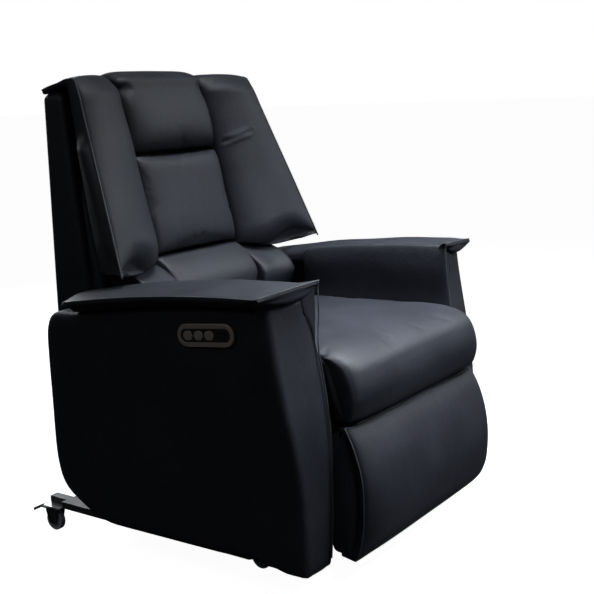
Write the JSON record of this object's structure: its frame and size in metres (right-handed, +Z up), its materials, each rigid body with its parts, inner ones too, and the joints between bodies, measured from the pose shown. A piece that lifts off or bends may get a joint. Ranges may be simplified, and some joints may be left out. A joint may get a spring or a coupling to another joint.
{
  "type": "power recliner chair",
  "caption": "Black leather power recliner: winged channelled back, flat-capped arms, chaise seat, lift-out footrest on links, swivel-caster base.",
  "frame": {"origin": "on the floor, in the middle of the chair's footprint", "axes": "+Z up; the chair faces -Y; its own right arm, with the control panel, is at -X"},
  "size_m": [0.904, 0.9, 1.0782],
  "materials": {
    "leather": "semi-matt fine grain, near black with a blue cast",
    "dark_steel": "satin black paint",
    "bright_steel": "zinc plated",
    "chrome": "bright chrome",
    "tread": "matt grey",
    "plywood": "bare plywood",
    "black_plastic": "fine texture",
    "grey_plastic": "matt nylon",
    "cover_cloth": "matt black lining cloth",
    "champagne": "satin champagne"
  },
  "bodies": {
    "chassis": {"base_frame": "dark_steel", "caster_plate_rear_right": "chrome", "caster_plate_rear_left": "chrome", "caster_plate_front_right": "chrome", "caster_plate_front_left": "chrome", "arm_shell_right": "leather", "arm_shell_left": "leather", "arm_frame_right": "plywood", "arm_frame_left": "plywood", "arm_inner_right": "leather", "arm_inner_left": "leather", "arm_pad_right": "leather", "arm_pad_left": "leather", "seat_cushion": "leather", "seat_frame": "dark_steel", "seat_springs": "bright_steel", "mechanism_frame": "dark_steel", "footrest_motor": "black_plastic", "back_motor": "black_plastic", "bridge_flap": "leather", "rear_cover": "cover_cloth", "power_inlet": "black_plastic", "control_box": "black_plastic", "switch_housing": "black_plastic", "control_bezel": "champagne", "usb_socket": "black_plastic"},
    "footrest": {"footrest_cushion": "leather", "footrest_board": "plywood", "footrest_bracket": "dark_steel"},
    "drive_arms": {"drive_arms": "bright_steel"},
    "guide_arms": {"guide_arm_left": "bright_steel", "guide_arm_right": "bright_steel"},
    "carry_links": {"carry_link_left": "bright_steel", "carry_link_right": "bright_steel"},
    "control_links": {"control_link_left": "bright_steel", "control_link_right": "bright_steel"},
    "footrest_carriage": {"footrest_carriage": "grey_plastic"},
    "back": {"back_frame": "dark_steel", "back_shell": "leather", "headrest_cushion": "leather", "mid_cushion": "leather", "lumbar_cushion": "leather", "lumbar_side_left": "leather", "lumbar_side_right": "leather", "wing_left": "leather", "wing_right": "leather"},
    "back_carriage": {"back_carriage": "grey_plastic"},
    "fork_rear_right": {"caster_fork_rear_right": "dark_steel"},
    "wheel_rear_right": {"caster_wheel_rear_right": "tread"},
    "pedal_rear_right": {"brake_pedal_rear_right": "dark_steel"},
    "fork_rear_left": {"caster_fork_rear_left": "dark_steel"},
    "wheel_rear_left": {"caster_wheel_rear_left": "tread"},
    "pedal_rear_left": {"brake_pedal_rear_left": "dark_steel"},
    "fork_front_right": {"caster_fork_front_right": "dark_steel"},
    "wheel_front_right": {"caster_wheel_front_right": "tread"},
    "fork_front_left": {"caster_fork_front_left": "dark_steel"},
    "wheel_front_left": {"caster_wheel_front_left": "tread"},
    "button_1": {"button_1": "champagne"},
    "button_2": {"button_2": "champagne"},
    "button_3": {"button_3": "champagne"}
  },
  "joints": [
    {"name": "footrest_lift", "type": "hinge", "parent": "chassis", "child": "footrest", "pos_m": [0, -0.44, 0.42], "axis": [-1, 0, 0], "range_deg": [0, 85]},
    {"name": "drive_arm_swing", "type": "hinge", "parent": "chassis", "child": "drive_arms", "pos_m": [0, -0.2, 0.3], "axis": [-1, 0, 0], "range_deg": [0, 85]},
    {"name": "guide_arm_swing", "type": "hinge", "parent": "chassis", "child": "guide_arms", "pos_m": [0, -0.26, 0.33], "axis": [-1, 0, 0], "range_deg": [0, 85]},
    {"name": "carry_link_turn", "type": "hinge", "parent": "drive_arms", "child": "carry_links", "pos_m": [0, -0.095, 0.13], "axis": [-1, 0, 0], "range_deg": [-85, 0]},
    {"name": "control_link_turn", "type": "hinge", "parent": "drive_arms", "child": "control_links", "pos_m": [0, -0.07295, 0.0943], "axis": [-1, 0, 0], "range_deg": [-85, 0]},
    {"name": "footrest_carriage_slide", "type": "slide", "parent": "chassis", "child": "footrest_carriage", "axis": [0, -1, 0], "range_m": [0, 0.0812]},
    {"name": "back_recline", "type": "hinge", "parent": "chassis", "child": "back", "pos_m": [0, 0.23, 0.4], "axis": [-1, 0, 0], "range_deg": [0, 38]},
    {"name": "back_carriage_slide", "type": "slide", "parent": "chassis", "child": "back_carriage", "axis": [0, -1, 0], "range_m": [0, 0.0913]},
    {"name": "swivel_rear_right", "type": "hinge", "parent": "chassis", "child": "fork_rear_right", "pos_m": [-0.38, 0.377, 0.0564], "axis": [0, 0, 1], "continuous": true},
    {"name": "roll_rear_right", "type": "hinge", "parent": "fork_rear_right", "child": "wheel_rear_right", "pos_m": [-0.38, 0.387, 0.025], "axis": [1, 0, 0], "continuous": true},
    {"name": "brake_rear_right", "type": "hinge", "parent": "fork_rear_right", "child": "pedal_rear_right", "pos_m": [-0.38, 0.4025, 0.0519], "axis": [-1, 0, 0], "range_deg": [0, 12]},
    {"name": "swivel_rear_left", "type": "hinge", "parent": "chassis", "child": "fork_rear_left", "pos_m": [0.38, 0.377, 0.0564], "axis": [0, 0, 1], "continuous": true},
    {"name": "roll_rear_left", "type": "hinge", "parent": "fork_rear_left", "child": "wheel_rear_left", "pos_m": [0.38, 0.387, 0.025], "axis": [1, 0, 0], "continuous": true},
    {"name": "brake_rear_left", "type": "hinge", "parent": "fork_rear_left", "child": "pedal_rear_left", "pos_m": [0.38, 0.4025, 0.0519], "axis": [-1, 0, 0], "range_deg": [0, 12]},
    {"name": "swivel_front_right", "type": "hinge", "parent": "chassis", "child": "fork_front_right", "pos_m": [-0.296, -0.18, 0.0564], "axis": [0, 0, 1], "continuous": true},
    {"name": "roll_front_right", "type": "hinge", "parent": "fork_front_right", "child": "wheel_front_right", "pos_m": [-0.296, -0.17, 0.025], "axis": [1, 0, 0], "continuous": true},
    {"name": "swivel_front_left", "type": "hinge", "parent": "chassis", "child": "fork_front_left", "pos_m": [0.296, -0.18, 0.0564], "axis": [0, 0, 1], "continuous": true},
    {"name": "roll_front_left", "type": "hinge", "parent": "fork_front_left", "child": "wheel_front_left", "pos_m": [0.296, -0.17, 0.025], "axis": [1, 0, 0], "continuous": true},
    {"name": "button_1_press", "type": "slide", "parent": "chassis", "child": "button_1", "axis": [1, 0, 0], "range_m": [0, 0.0015], "stiffness_N_per_m": 300},
    {"name": "button_2_press", "type": "slide", "parent": "chassis", "child": "button_2", "axis": [1, 0, 0], "range_m": [0, 0.0015], "stiffness_N_per_m": 300},
    {"name": "button_3_press", "type": "slide", "parent": "chassis", "child": "button_3", "axis": [1, 0, 0], "range_m": [0, 0.0015], "stiffness_N_per_m": 300}
  ],
  "couplings": [
    {"joint": "drive_arm_swing", "follows": "footrest_lift", "ratio": 1},
    {"joint": "guide_arm_swing", "follows": "footrest_lift", "ratio": 1},
    {"joint": "carry_link_turn", "follows": "footrest_lift", "ratio": -1},
    {"joint": "control_link_turn", "follows": "footrest_lift", "ratio": -1},
    {"joint": "footrest_carriage_slide", "follows": "footrest_lift", "m_per_rad": 0.054647},
    {"joint": "back_carriage_slide", "follows": "back_recline", "m_per_rad": 0.13745}
  ]
}
